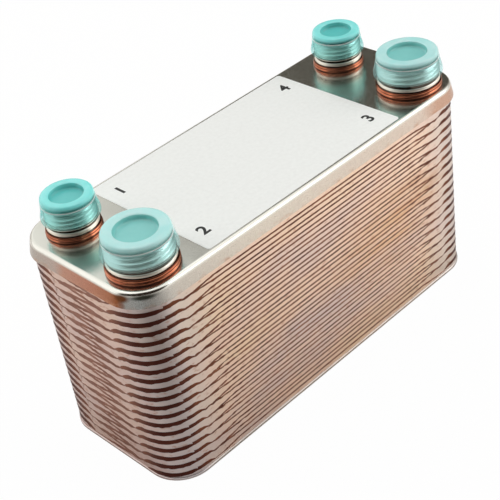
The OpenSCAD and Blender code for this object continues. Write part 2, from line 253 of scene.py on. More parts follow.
# %% [markdown]
# ## The plates
# The plates are pressed from thin stainless sheet: a satin grey metal. In the vacuum furnace the copper
# between them melts and a little creeps over the skirts, so the steel is pinker along the sides, and
# golden or brown in drifts. It is also paler at the corners, most at the -X end. One noise alone would
# look like marble, so long drifts lay out the tint, and soft ellipsoids place the few strong stains.

# %% Pressed stainless, tinted by the furnace
def furnace_steel(name, grey, pink, gold):
    """Satin stainless: metal of roughness about a third, its three tints in drifts."""
    material, tree, place_on = new_material(name)
    cells = add(tree, "SeparateXYZ", (place_on,)).node.outputs  # X, Y and Z in metres
    along, across = (add(tree, "Math", (cells[k],), operation="ABSOLUTE") for k in "XY")
    drifts = clouds(tree, place_on, (14, 14, 42))  # 70 mm long, 24 mm high
    drawn = clouds(tree, place_on, (50, 50, 500))  # drawn-out stains, 20 mm long, 2 mm high
    streaks = clouds(tree, place_on, (300, 300, 900))  # streaks of copper, 3 mm long, 1 mm high
    fine = clouds(tree, place_on, (150, 150, 420), 4.0, 0.62)  # 7 mm patches of gloss
    ragged = add(tree, "Math", (drifts, 0.03, along), operation="MULTIPLY_ADD")
    turned_in = add(tree, "Math", (along, across), operation="ADD")
    less_copper = where(tree, (ragged, 0.076, 0.096), (along, 0.0935, 0.087, 0.0, 0.6))
    # paler at the corners, most at the -X end
    corner = where(tree, (turned_in, 0.112, 0.120, 0.0, 0.75), (cells["X"], 0.02, -0.04, 0.3, 1.0))
    end_face = where(tree, (along, 0.0915, 0.093, 0.0, 0.6))
    golden = where(tree, blot(tree, place_on, (38, -36, 46), (56, 30, 30), 0.0),
                   (drawn, 0.3, 0.7, 0.15, 0.65))
    brown = where(tree, blot(tree, place_on, (60, -36, 57), (26, 30, 12), 0.0), (drawn, 0.3, 0.6, 0.1, 0.6))
    tint = add(tree, "ValToRGB", (drifts,), stops=[(0.32, grey), (0.52, pink), (0.78, gold)])
    colour = coats(tree, tint, (less_copper, "#d6d0cc"), (corner, "#d2c9cb"), (end_face, "#cdb4b0"),
                   (golden, "#deb07e"), (brown, "#bd8058"),
                   (where(tree, (streaks, 0.56, 0.74, 0.0, 0.55)), "#b98468"))
    rough = add(tree, "MapRange", (fine, 0, 1, 0.24, 0.42))
    bump = add(tree, "Bump", {"Height": drifts, "Strength": 0.2, "Distance": 0.0008})
    shader = add(tree, "BsdfPrincipled", {"Base Color": colour, "Metallic": 1.0, "Roughness": rough,
                                          "Normal": bump})
    add(tree, "OutputMaterial", (shader,))
    return material


plate_finish = furnace_steel("pressed_stainless_plate", "#e0ccc5", "#f2d5c1", "#f3d8b6")
base_finish = furnace_steel("sheared_stainless_base", "#b9b1ab", "#c0b7b0", "#c6b8ac")
for i in range(1, PLATES + 1):
    dress(nodes[f"plate_{i:02d}"], plate_finish)
dress(nodes["base_plate"], base_finish)
print("dressed", PLATES, "plates and the base")

# %% [markdown]
# ## The rim path
# The seams and the cover all run round the same rounded rectangle. A curve object could carry them, but
# a path of our own says at each point which way is out, and has a point wherever the copper changes:
# the zones below, counted from the end of a corner's arc.

# %% Rim path
CORNER_ZONE, CLOSE_ZONE, RAMP_ZONE, END_ZONE = 4.4, 8.0, 20.0, 13.0
SLIDE_STOP, SLIDE_MID, SLIDE_GONE = 5.3, 5.55, 5.8  # a corner's band of copper ends here on a short side
DIP_FROM, DIP_TO = 6.16, 8.36  # and the skirt edge is lowest between these
ZONE_MARKS = np.array([2.0, CORNER_ZONE, SLIDE_STOP, SLIDE_MID, SLIDE_GONE, DIP_FROM, CLOSE_ZONE, DIP_TO,
                       END_ZONE, RAMP_ZONE])


def rim_path(step=1.5, arc_steps=16):
    """Corner-centre points and outward directions round the rounded rectangle, turning left from the
    +X side. An arc has even steps; a straight side has steps between its ends and its zone marks."""
    starts, outs = [], []
    corners = np.array([(1, 1), (-1, 1), (-1, -1), (1, -1)]) * [CENTRE_X, CENTRE_Y]
    for k in range(4):
        here, there = corners[k], corners[(k + 1) % 4]
        quarter = k * math.pi / 2
        angle = np.linspace(0, math.pi / 2, arc_steps + 1) + quarter
        starts.append(np.tile(here, (arc_steps + 1, 1)))
        outs.append(np.stack([np.cos(angle), np.sin(angle)], -1))
        run = 2 * (CENTRE_X if k % 2 == 0 else CENTRE_Y)
        marks = ZONE_MARKS[ZONE_MARKS < run / 2]
        s = np.unique(np.concatenate([np.arange(step, run - 0.5, step), marks, run - marks]).round(3))
        t = (s / run)[:, None]
        starts.append((1 - t) * here + t * there)
        square_out = [math.cos(quarter + math.pi / 2), math.sin(quarter + math.pi / 2)]
        outs.append(np.tile(square_out, (len(s), 1)))
    return np.concatenate(starts), np.concatenate(outs).round(9)


RIM_START, RIM_OUT = rim_path()
RIM_X, RIM_Y = (RIM_START + CORNER_R * RIM_OUT).T
ROUND = len(RIM_X)
print("rim path of", ROUND, "points")

# %% [markdown]
# ## The skirt edges
# A pressing's skirt isn't trimmed level. Its edge rises or dips round the corners, and on two corners
# of every plate it is cut so high that a whole band of copper shows. The plates are solids already, and
# the copper has to start at their edge, so the same lines are read here as tables of two columns.

# %% Heights of the skirt edge
LOW_LIFT, HIGH_LIFT, NEAR_LIFT = 0.42 * PITCH, 0.66 * PITCH, 0.53 * PITCH
SKIRT_LIFT, SKIRT_STEP, SKIRT_DIP, END_DIP = 0.5, 0.2, 0.55, 1.0
# long sides: [distance past the corner's arc, height]; short sides: [place along y, height]
LOW_LINE = np.array([[-30, SKIRT_LIFT], [-12.9, SKIRT_LIFT], [-6.1, LOW_LIFT], [0, LOW_LIFT], [2, 0.57],
                     [CORNER_ZONE, -SKIRT_DIP], [CLOSE_ZONE, -SKIRT_DIP], [RAMP_ZONE, SKIRT_LIFT]])
HIGH_LINE = np.array([[-30, 0], [-15.2, 0.2 * HIGH_LIFT], [-10.9, 0.8 * HIGH_LIFT], [-6.1, HIGH_LIFT],
                      [0, HIGH_LIFT], [CORNER_ZONE, NEAR_LIFT], [CLOSE_ZONE, NEAR_LIFT],
                      [RAMP_ZONE, SKIRT_LIFT + SKIRT_STEP]])
END_LINE = np.array([[-52, SKIRT_LIFT], [END_ZONE - CENTRE_Y, SKIRT_LIFT], [CENTRE_Y - DIP_TO, -END_DIP],
                     [CENTRE_Y - DIP_FROM, -END_DIP], [CENTRE_Y - CORNER_ZONE, -0.6 * END_DIP],
                     [CENTRE_Y, 0.23 * HIGH_LIFT], [CENTRE_Y + 4, 0.57 * HIGH_LIFT],
                     [CENTRE_Y + 10.3, 0.83 * HIGH_LIFT], [CENTRE_Y + 30, 1.4 * HIGH_LIFT]])


def read_line(line, place):
    """Height at each place: straight lines between the table's (place, height) rows."""
    return np.interp(place, *line.T)


def skirt_edge():
    """Height of the skirt edge round the rim, the higher of the lines that cut it there; how much of a
    band of copper shows below it, all of it round the -Y corners; and where only a thin bead does, round
    the +Y ones."""
    past, edge = CENTRE_X - np.abs(RIM_X), np.full(ROUND, -END_DIP)
    for here, place, line in [(RIM_Y < -CENTRE_Y, past, LOW_LINE), (RIM_Y > CENTRE_Y, past, HIGH_LINE),
                              (np.abs(RIM_X) > CENTRE_X, RIM_Y, END_LINE)]:
        edge = np.where(here, np.maximum(edge, read_line(line, place)), edge)
    near_corner = np.interp(past, [-14.6, -12.6, CORNER_ZONE - 0.6, CORNER_ZONE + 0.4], [0, 1, 1, 0])
    return edge, near_corner * (RIM_Y < -CENTRE_Y), near_corner * (RIM_Y > CENTRE_Y)


EDGE, BAND, THIN_CORNER = skirt_edge()
EDGE_BELOW = np.roll(EDGE, len(EDGE) // 2)
print("skirt edge from", EDGE.min().round(2), "to", EDGE.max().round(2), "mm")

# %% [markdown]
# ## The copper seams
# Under each skirt edge hangs a fillet of copper that froze as it ran. On the short sides a corner's
# band slides down and tapers away below the edge, and the strip of steel above it stays bare. Copper
# could be faked with bump, but its shadow line is what the eye counts, so each seam is a real tube.
# Before them come the stretches of rim where the copper behaves differently.

# %% Where the copper changes
# on a short side and round its corner: [distance past the arc's end, height], of a slid band's upper
# edge and of the band itself
SLID_TOP = np.array([[-18.4, 0.95], [-15.4, 0.82], [-11.4, 0.57], [-7.4, 0.38], [-5.4, 0.12], [-3.4, -0.10],
                     [-1.4, -0.39], [0.6, -0.73], [2.6, -1.10], [4.0, -1.70], [SLIDE_STOP, -2.50]])
SLID_DEPTH = np.array([[-15.4, 2.05], [-7.4, 2.15], [-3.4, 1.75], [2.6, 1.75], [4.0, 1.3],
                       [SLIDE_STOP, 0.4]])


def rim_zones():
    """Shares from 0 to 1 round the rim: the short sides, the long sides away from their corners, the
    ends where a bead is thin, the stretch where a band slides down on to the short side, and how full
    the plain fillet is where it starts again behind that. The last one is the distance along the rim
    from a corner's arc, which on the arc itself is -radius x angle."""
    on_end = np.abs(RIM_X) > CENTRE_X
    short = np.clip((CENTRE_Y - np.abs(RIM_Y)) / 4, 0, 1) * on_end
    calm = np.clip((CENTRE_X - 16 - np.abs(RIM_X)) / 16, 0, 1)
    thin = np.maximum(THIN_CORNER, np.interp(RIM_Y, [CENTRE_Y - 11, CENTRE_Y - 2], [0, 1]) * on_end)
    angle = np.arctan2(-RIM_Y - CENTRE_Y, np.abs(RIM_X) - CENTRE_X)
    run = np.where(RIM_Y < -CENTRE_Y, -CORNER_R * angle, RIM_Y + CENTRE_Y)
    slide = np.interp(run, [-18.8, -16.8, SLIDE_STOP, SLIDE_GONE], [0, 1, 1, 0])
    behind = (run > SLIDE_MID + 0.05) & on_end
    grow = np.where(behind, np.interp(run, [SLIDE_GONE, 9.5], [0.3, 1]), 1.0)
    return short, calm, thin, slide * (np.abs(RIM_X) > CENTRE_X + 1e-6), grow, run


SHORT, CALM, THIN, SLIDE, GROW, RUN = rim_zones()
print("copper slides down at", int((SLIDE > 0).sum()), "of", ROUND, "rim points")

# %% [markdown]
# A frozen fillet wanders in long and short waves. A random number to each point would look like gravel,
# so a few sines of random pitch are added up. Each has a whole number of waves round the rim, so the
# last point meets the first.

# %% Waves of the fillet
def waves(rng, count, low, high):
    """Smooth periodic noise round the rim, about -1 to 1: sines of random pitch, height and phase."""
    around = np.cumsum(np.hypot(*np.diff(np.stack([RIM_X, RIM_Y], -1), axis=0, prepend=0).T))
    turn = 2 * math.pi * (around - around[0]) / (around[-1] - around[0])
    k = rng.integers(low, high, count)
    a = rng.normal(size=count) / math.sqrt(count)
    return (a[:, None] * np.sin(k[:, None] * turn + rng.uniform(0, 6.28, count)[:, None])).sum(0)


print("waves of", waves(np.random.default_rng(0), 24, 8, 150).std().round(2), "mm about the mean")

# %% [markdown]
# A fillet's section has eight points. From its feathered top, which laps up over the skirt, it comes
# down the outside, hollows in to the plate below, and goes back inside the steel where nobody sees.
# The plate below is the same pressing turned half round, so its edge is this one half a lap on.

# %% Section of a seam
def skirt(z, down=0):
    """Offset of a skirt's outside at height z, or of the skirt that many pitches down: corner radius -
    (z + down x pitch) x tan(lean)."""
    return CORNER_R - (z + down * PITCH) * LEAN


def section(points):
    """Section points (offset, height), each one number or one to a rim point, as rim x points x 2."""
    return np.stack([np.stack(np.broadcast_arrays(*p, np.zeros(ROUND))[:2], -1) for p in points], 1)


def seam_section(rng, room):
    """A seam's section round the rim. The room down to the edge below is filled where a band shows; the
    plain fillet fills a part of it. Where the band slides, its own lines take over."""
    lively = 1 - 0.7 * CALM
    wander = waves(rng, 24, 8, 150) * lively
    spread = np.clip(0.14 + 0.09 * wander + 0.08 * waves(rng, 16, 60, 190) * lively, 0.03, 0.5)
    line = 0.92 + 0.58 * SHORT - 0.55 * THIN + (0.13 * waves(rng, 20, 30, 160) + 0.09 * wander) * lively
    drop = np.minimum((1 - BAND) * np.clip(line, 0.3, 1.8) + BAND * (room - 0.05), room + 0.1) * GROW
    thick = read_line(SLID_DEPTH, RUN) * (1 + 0.07 * waves(rng, 20, 60, 190))
    swell = 0.025 * waves(rng, 20, 40, 190) * lively + 0.09 * BAND
    slid_top = read_line(SLID_TOP, RUN)

    def mixed(plain, slid):
        """The plain fillet's value, or the slid band's."""
        return (1 - SLIDE) * plain + SLIDE * slid

    top = EDGE + spread * (1 - 0.8 * SLIDE)
    high = mixed(EDGE - 0.3 * drop, slid_top + 0.06 * waves(rng, 16, 40, 160))
    half = mixed(EDGE - 0.65 * drop, slid_top - 0.5 * thick)
    low = mixed(EDGE - drop, slid_top - thick)
    full = np.clip(drop, 0.2, 0.8) / 0.8
    dive = 1.6 * SLIDE * (1 - SLIDE) * SHORT  # both go into the steel where they meet
    return section([
        (skirt(top) + 0.004, top),
        (skirt(EDGE + 0.5 * spread) + mixed(0.035, 0.01), EDGE + mixed(0.5 * spread, 0.02)),
        (skirt(EDGE) + 0.02, EDGE - 0.04),
        (skirt(high, 1) + mixed(0.30 * full + swell, 0.06) - dive, high),
        (skirt(half, 1) + mixed(0.17 * full + swell, 0.15) - dive, half),
        (skirt(low, 1) + mixed(0.012 + 0.1 * BAND, 0.08) - dive, low),
        (skirt(low, 1) - 0.15 - dive, low + 0.02),
        (skirt(top) - 0.30, top - 0.01),
    ])


print("the room for copper is", (PITCH + EDGE - EDGE_BELOW).min().round(2), "mm at least")

# %% [markdown]
# A section goes round the rim for each plate from the second to the last but one, turned half round with
# the plate. Under the cover's skirt and round the base plate run two plainer fillets. The loops could be
# one mesh, but two of twenty keep each piece light.

# %% Seams round the pack
def round_the_rim(points, z=0.0, half_turn=False):
    """Carries a section round the rim: centre point + outward direction x offset, and height up."""
    flat = RIM_START[:, None, :] + RIM_OUT[:, None, :] * points[..., :1]
    return np.concatenate([flat * (-1 if half_turn else 1), points[..., 1:] + z], -1)


def closed_rims(name, loops):
    """One piece of several closed tubes, each a loop of eight-point sections round the rim."""
    ring = grid_faces(ROUND, 8, True, True)
    faces = np.concatenate([ring + k * ROUND * 8 for k in range(len(loops))])
    points = np.concatenate([loop.reshape(-1, 3) for loop in loops])
    piece = make_piece(name, points, faces, smooth_angle=60)
    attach(piece, "chiller")
    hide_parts("braze_seams")
    print(name, len(loops), "loops,", len(faces) * 2, "triangles")
    return piece


rng = np.random.default_rng(11)
loops = [round_the_rim(seam_section(rng, PITCH + EDGE - EDGE_BELOW), plate_z(i), i % 2 == 1)
         for i in range(2, PLATES)]
wobble = 0.5 + 0.5 * np.clip(waves(rng, 24, 10, 150), -1, 1)
drop = 0.35 + 0.5 * wobble
past_skirt = PITCH - COVER_OVERLAP  # height of the cover's edge over the skirt it laps
cover_fillet = section([
    (COVER_EDGE - 0.22, 0.03), (COVER_EDGE - 0.45, -0.25 * drop),
    (skirt(past_skirt - 0.6 * drop) + 0.25, -0.6 * drop), (skirt(past_skirt - drop) + 0.02, -drop),
    (skirt(past_skirt - drop) - 0.7, -drop + 0.02), (skirt(past_skirt) - 0.7, 0.3),
    (COVER_EDGE - 0.6, 0.3), (COVER_EDGE - 0.4, 0.1)])
loops.append(round_the_rim(cover_fillet, COVER_LOW))
foot = 0.30 + 0.06 * wobble
foot_fillet = section([
    (CORNER_R - 0.05, foot + 0.1), (CORNER_R + 0.05, 0.6 * foot), (CORNER_R + 0.5 * foot, 0.25 * foot),
    (CORNER_R + foot, 0.02), (CORNER_R + foot, -0.1), (CORNER_R - 0.3, -0.1), (CORNER_R - 0.3, 0.1),
    (CORNER_R - 0.25, foot)])
HALF_WAY = 20
lower_seams = closed_rims("copper_seams_lower", loops[:HALF_WAY])
upper_seams = closed_rims("copper_seams_upper", loops[HALF_WAY:])
foot_seam = closed_rims("copper_foot", [round_the_rim(foot_fillet, BASE_T)])

# %% [markdown]
# Where the band has slid down, the faces between it and the skirt edge are bare steel. A second
# material on those faces is simpler than cutting the mesh, and the line stays as sharp as a face edge.

# %% Bare strip above a slid band
bare = np.zeros((ROUND, 8), int)
bare[SLIDE > 0.3, :3] = 1
for piece, plain_loops in ((lower_seams, 0), (upper_seams, 1)):  # the cover's fillet is all copper
    seams = len(piece.data.polygons) // bare.size - plain_loops
    index = np.concatenate([np.tile(bare.ravel(), seams), np.zeros(plain_loops * bare.size, int)])
    piece.data.polygons.foreach_set("material_index", index)
print("bare faces on a loop:", int(bare.sum()))

# %% [markdown]
# Copper that melted and froze is bright where its skin is clean and brown to maroon where it scaled:
# a dark, uneven, half-gloss metal. Plain noise sets the drifts of oxide. A dark coat goes over them: on
# the seams a scaled skin, placed by distance from the pack's corners, and on a ring round a stub a
# painted shade, placed by height: at its foot, in the valley between its two beads, and on top.

# %% Flowed copper
def flowed_copper(name, pale, deep, dark, dull, ring_height=None):
    """Copper metal of roughness about dull, its three tones in drifts and a dark coat over them:
    scaled skin on the seams, painted shade on a ring.
    """
    material, tree, place_on = new_material(name)
    cells = add(tree, "SeparateXYZ", (place_on,)).node.outputs
    drift = clouds(tree, place_on, (130, 130, 130), 4.0, 0.6)  # 8 mm across
    tone = add(tree, "ValToRGB", (drift,), stops=[(0.30, dark), (0.5, deep), (0.72, pale)])
    if ring_height is None:
        along, across = (add(tree, "Math", (cells[k],), operation="ABSOLUTE") for k in "XY")
        corner = add(tree, "Math", (along, across), operation="ADD")
        corner = add(tree, "Math", (drift, 0.008, corner), operation="MULTIPLY_ADD")
        ends = where(tree, (along, 0.092, 0.0935), (across, 0.030, 0.022, 0.0, 0.5))
        # darker scaled skin towards the pack's corners
        dark_coat = where(tree, (corner, 0.112, 0.124, 0.0, 0.85), (along, 0.075, 0.085, 0.15, 1.0))
        colour = coats(tree, tone, (ends, "#ab7a69"), (dark_coat, "#4e2a26"))
    else:
        height = add(tree, "Math", (cells["Z"], COVER_TOP * MM), operation="SUBTRACT")
        height = add(tree, "Math", (height, ring_height * MM), operation="DIVIDE")
        height = add(tree, "Math", (drift, 0.12, height), operation="MULTIPLY_ADD")
        # painted shade on a ring: dark at its foot, in the valley between the beads, and along its top
        valley_shade = where(tree, (height, 0.50, 0.60), (height, 0.74, 0.66))
        dark_coat = either(tree, valley_shade, where(tree, (height, 0.36, 0.20)), where(tree, (height, 0.90, 0.98)))
        colour = coats(tree, tone, (where(tree, dark_coat, 0.8), "#481c16"))
    rough = add(tree, "MapRange", (drift, 0.3, 0.7, dull + 0.12, dull - 0.06))
    strength = 0.04 if ring_height else 0.15
    bump = add(tree, "Bump", {"Height": drift, "Strength": strength, "Distance": 0.0003})
    shader = add(tree, "BsdfPrincipled", {"Base Color": colour, "Metallic": 1.0, "Roughness": rough,
                                          "Normal": bump})
    add(tree, "OutputMaterial", (shader,))
    return material


# painted shade: the seam tones are darker than a ring's, for the shade under the skirt edges, over the
# copper's own brown
shaded_seam_copper = flowed_copper("flowed_copper_seam_shaded", "#9a5f42", "#7f4c37", "#613429", 0.40)
dress(lower_seams, shaded_seam_copper, plate_finish)
dress(upper_seams, shaded_seam_copper, plate_finish)
dress(foot_seam, base_finish)
print("dressed the seams")

# %% [markdown]
# ## The cover plate
# The cover is one sheet, drawn to a shallow lid with a round bend and a skirt that leans out over the
# pack. Bevelling a solid would leave uneven bends at the corners, so its outside, lip and inside are one
# profile, to be carried round the rim path.

# %% Profile of the cover
def cover_profile(thickness_in, count=9):
    """(offset, height) up the skirt and round the bend to the flat, that far inside the outer face: a
    straight line, then bend centre + radius x (cos, sin)."""
    bend_x = COVER_EDGE - (COVER_TOP - COVER_LOW - COVER_BEND) * LEAN - COVER_BEND / math.cos(LEAN_ANGLE)
    bend_z = COVER_TOP - COVER_BEND
    radius = COVER_BEND - thickness_in
    turn = np.linspace(LEAN_ANGLE, math.pi / 2, count)
    arc = np.stack([bend_x + radius * np.cos(turn), bend_z + radius * np.sin(turn)], -1)
    hem = np.array([COVER_EDGE - thickness_in / math.cos(LEAN_ANGLE), COVER_LOW])
    return np.concatenate([hem + np.linspace(0, 1, 4)[:-1, None] * (arc[0] - hem), arc])


outside, inside = cover_profile(0.0), cover_profile(COVER_T)
lip = np.array([[COVER_EDGE - COVER_T + 0.05, COVER_LOW], [COVER_EDGE - 0.10, COVER_LOW]])
outside[0] = [COVER_EDGE - 0.02, COVER_LOW + 0.10]
inside[0] = [COVER_EDGE - COVER_T / math.cos(LEAN_ANGLE), COVER_LOW + 0.08]
profile = np.concatenate([inside[::-1], lip, outside])
print("cover profile of", len(profile), "points")

# %% [markdown]
# The flat top and the underside are filled with triangles between the rim and the four port holes, and
# short walls join the holes. A boolean could cut them, but it leaves thin scraps that spoil a mirror.

# %% Cover sheet with its port holes
HOLE_STEPS, HOLE_RIM = 48, 1.6


def hole_rings(level):
    """Rings of points round the four ports: centre + (bore + rim) x (cos, sin), at that height."""
    turn = np.linspace(0, 2 * math.pi, HOLE_STEPS, endpoint=False)
    return [np.stack([x + (kind["bore_r"] + HOLE_RIM) * np.cos(turn),
                      y + (kind["bore_r"] + HOLE_RIM) * np.sin(turn), np.full(HOLE_STEPS, level)], -1)
            for x, y, kind in PORTS.values()]


def fill_flat(points, loops, face_up):
    """Triangles between an outline and its holes. Where a triangle's cross product points the wrong way,
    its last two corners are swapped."""
    order = np.concatenate(loops)
    triangles = order[np.array(tessellate_polygon([[Vector(p) for p in points[loop]] for loop in loops]))]
    a, b, c = points[triangles].transpose(1, 0, 2)
    wrong = (np.cross(b - a, c - a)[:, 2] > 0) != face_up
    triangles[wrong] = triangles[wrong][:, [0, 2, 1]]
    return triangles


rim_points = round_the_rim(np.broadcast_to(profile, (ROUND, *profile.shape))).reshape(-1, 3)
points = np.concatenate([rim_points, *hole_rings(COVER_TOP), *hole_rings(COVER_TOP - COVER_T)])
holes = len(rim_points) + np.arange(2 * len(PORTS) * HOLE_STEPS).reshape(2, len(PORTS), HOLE_STEPS)
under_rim = np.arange(ROUND) * len(profile)
top_faces = fill_flat(points, [under_rim + len(profile) - 1, *holes[0]], True)
under_faces = fill_flat(points, [under_rim, *holes[1]], False)
upper, lower = holes
upper_next, lower_next = np.roll(upper, -1, axis=1), np.roll(lower, -1, axis=1)
hole_walls = np.stack([upper, upper_next, lower_next, lower], -1).reshape(-1, 4)
cover_faces = [*grid_faces(ROUND, len(profile), True, False), *top_faces, *under_faces, *hole_walls]
cover = make_piece("cover_sheet", points, cover_faces, smooth_angle=40)
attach(cover, "chiller")
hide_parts("cover_plate")
print("cover sheet:", len(cover.data.polygons), "faces")

# %% [markdown]
# The cover is bright drawn stainless, nearly a mirror on top with a faint wave from the press, and duller
# on the skirt, where the furnace tinted it. By the near corner a grey stretch of the skirt is a painted
# reflection of the dark room. A noise can't place a run of tints, but x - y grows steadily round the near
# corner, so a colour ramp along it sets them in turn.

# %% Bright drawn stainless
SKIRT_TINTS_AND_REFLECTION = [  # share of the way round from the far left corner to the near right one, and tint
    (0.0, "#b9b2aa"), (0.055, "#bcaaa1"), (0.08, "#c0927f"), (0.143, "#ba826c"), (0.185, "#ad7458"),
    # painted reflection: the grey stops from 0.217 to 0.26, the dark room mirrored in the skirt by the near
    # corner
    (0.209, "#8f5636"), (0.217, "#86675a"), (0.226, "#a9a9a6"), (0.26, "#c3c8c8"), (0.34, "#d4cdc3"),
    (0.5, "#dcd3c6"), (0.92, "#dacabd"), (0.96, "#cba793")]


def cover_steel():
    """Stainless of roughness 0.2, with tints and a painted reflection on the skirt, copper that crept up
    from its fillet, and a painted dark reflection on the bend by the near corner.
    """
    material, tree, place_on = new_material("bright_drawn_stainless")
    cells = add(tree, "SeparateXYZ", (place_on,)).node.outputs
    drift = clouds(tree, place_on, (22, 22, 22))  # waves of the sheet, 45 mm
    ragged = clouds(tree, place_on, (160, 160, 260), 4.0, 0.6)  # ragged edges, 6 mm
    top = add(tree, "ValToRGB", (drift,), stops=[(0.35, "#dfdcd4"), (0.65, "#e6e4dc")])
    turn = add(tree, "Math", (cells["X"], cells["Y"]), operation="SUBTRACT")
    turn = add(tree, "Math", (ragged, 0.006, turn), operation="MULTIPLY_ADD")
    turn = add(tree, "MapRange", (turn, -0.117, 0.123))
    tints = add(tree, "ValToRGB", (turn,), stops=SKIRT_TINTS_AND_REFLECTION)
    on_skirt = where(tree, (cells["Z"], (COVER_TOP - 1.1) * MM, (COVER_TOP - 2.0) * MM))
    creep = where(tree, (cells["Z"], (COVER_LOW + 2.2) * MM, COVER_LOW * MM),
                  (ragged, 0.46, 0.70, 0.0, 0.7))
    brown_blot = blot(tree, place_on, (-93.9, -26.5, 92.4), (4.5, 4.0, 2.2))
    # painted reflection: a dark patch on the bend at the near corner, the dark room mirrored there
    dark_reflection = blot(tree, place_on, (-89.6, -33.8, 92.8), (8, 6.5, 1.4))
    colour = coats(tree, top, (on_skirt, tints), (creep, "#c39478"), (brown_blot, "#6a4128"),
                   (dark_reflection, "#45483f"))
    # satin grain of 1 mm: the real one is finer, and wouldn't show
    fine = add(tree, "TexNoise", {"Vector": place_on, "Scale": 900.0, "Detail": 2.0})
    rough = add(tree, "Math", (where(tree, (fine, 0.3, 0.7, 0.18, 0.23)), where(tree, on_skirt, 0.06)),
                operation="ADD")
    wave = add(tree, "Bump", {"Height": drift, "Strength": 0.2, "Distance": 0.001})
    shader = add(tree, "BsdfPrincipled", {"Base Color": colour, "Metallic": 1.0, "Roughness": rough,
                                          "Normal": wave})
    add(tree, "OutputMaterial", (shader,))
    return material


dress(cover, cover_steel())
print("dressed the cover with", len(SKIRT_TINTS_AND_REFLECTION), "tints round its skirt")

# %% [markdown]
# ## The stubs
# Stubs, rings and caps are round. A spin or screw modifier would turn them, but a grid of our own can be
# rippled as it turns, by a formula of the angle and the height.

# %% Turned pieces
def turned(profile, x, y, z, count, ripple=None):
    """Grid of a profile (radius, height) turned about a vertical axis: r cos t, r sin t, with radius and
    height changed by ripple(angle, heights, radii) where given. Rows go round, columns along it."""
    profile = np.asarray(profile, float)
    angle = np.linspace(0, 2 * math.pi, count, endpoint=False)[:, None]
    radius = np.broadcast_to(profile[None, :, 0], (count, len(profile)))
    height = np.broadcast_to(profile[None, :, 1], (count, len(profile)))
    if ripple is not None:
        radius, height = ripple(angle, height, radius)
    return np.stack([x + radius * np.cos(angle), y + radius * np.sin(angle), z + height], -1)


print("4 points turned in 96 steps make", turned(np.ones((4, 2)), 0, 0, 0, 96).size // 3)

# %% [markdown]
# A stub is turned from bar on a lathe, and its thread is cut as a helix. Winding a thread round a tube
# leaves ends to close. Here each point of a turned profile moves in by how far round and how far up the
# helix it is, so the shell stays closed.

# %% Threaded stubs
def make_stub(port, count=200):
    """Bore, foot, grooved neck with its land and ridge, then the thread: a groove of depth
    (0.5 + 0.5 cos(turns)) to the power 0.8, where turns = height / pitch - angle / full circle."""
    x, y, kind = PORTS[port]
    r, bore, pitch = kind["thread_r"], kind["bore_r"], kind["pitch"]
    (land_low, land_high), (ridge_low, ridge_high) = kind["land"], kind["ridge"]
    thread_low = ridge_high + 0.3
    rows = np.arange(thread_low, STUB_H - 0.5, pitch / 18)
    lead = np.interp(rows, [9.4, STUB_H - 0.45], [0, 0.25])  # the last turns taper
    neck = [(bore, -COVER_T), (bore + 1.55, -COVER_T), (bore + 1.55, -0.02), (r, -0.02),
            (r, land_low - 0.3), (r - 0.3, land_low - 0.25), (r - 0.3, land_low - 0.05),
            (r - 0.03, land_low), (r, land_low + 0.2), (r - 0.04, land_low + 0.5),
            (r - 0.14, land_high - 0.35), (r - 0.34, land_high - 0.08), (r - 0.6, land_high),
            (r - 0.75, land_high + 0.1), (r - 0.75, ridge_low - 0.15), (r - 0.3, ridge_low),
            (r - 0.12, ridge_low + 0.08), (r - 0.12, ridge_high - 0.12), (r - 0.3, ridge_high),
            (r - 0.5, ridge_high + 0.1)]
    mouth = [(r - 0.55, STUB_H - 0.25), (r - 0.72, STUB_H - 0.05), (r - 0.85, STUB_H),
             (bore + 0.45, STUB_H), (bore, STUB_H - 0.45)]
    profile = neck + list(zip(r - 0.02 - lead, rows)) + mouth
    is_thread = np.repeat([0, 1, 0], [len(neck), len(rows), len(mouth)])

    def cut(angle, height, radius):
        """Radius - groove, which deepens from nothing over the first 0.6 mm of the thread."""
        turns = (height - thread_low) / pitch - angle / (2 * math.pi)
        groove = 0.55 * pitch * (0.5 + 0.5 * np.cos(2 * math.pi * turns)) ** 0.8
        return radius - groove * np.clip((height - thread_low) / 0.6, 0, 1) * is_thread, height

    faces = grid_faces(count, len(profile), True, True)[:, ::-1]
    points = turned(profile, x, y, COVER_TOP, count, cut)
    piece = make_piece(f"threaded_stub_{port}", points, faces, smooth_angle=38)
    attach(piece, "chiller")
    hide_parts(f"stub_{port}")
    return piece


stubs = {port: make_stub(port) for port in PORTS}
print("turned", len(stubs), "stubs")

# %% [markdown]
# Turned stainless is bright, with fine lathe lines round it. The neck's grooves are painted dark, a painted
# shade under the cap, while the land and the ridge are painted pale, a painted highlight, with a softer
# gloss.
# All of it changes with height alone, so bands of height are enough and no faces need marking.

# %% Turned stainless
THREAD_FROM, THREAD_FULL = 6.2, 6.8  # the paler thread begins between these heights over the cover


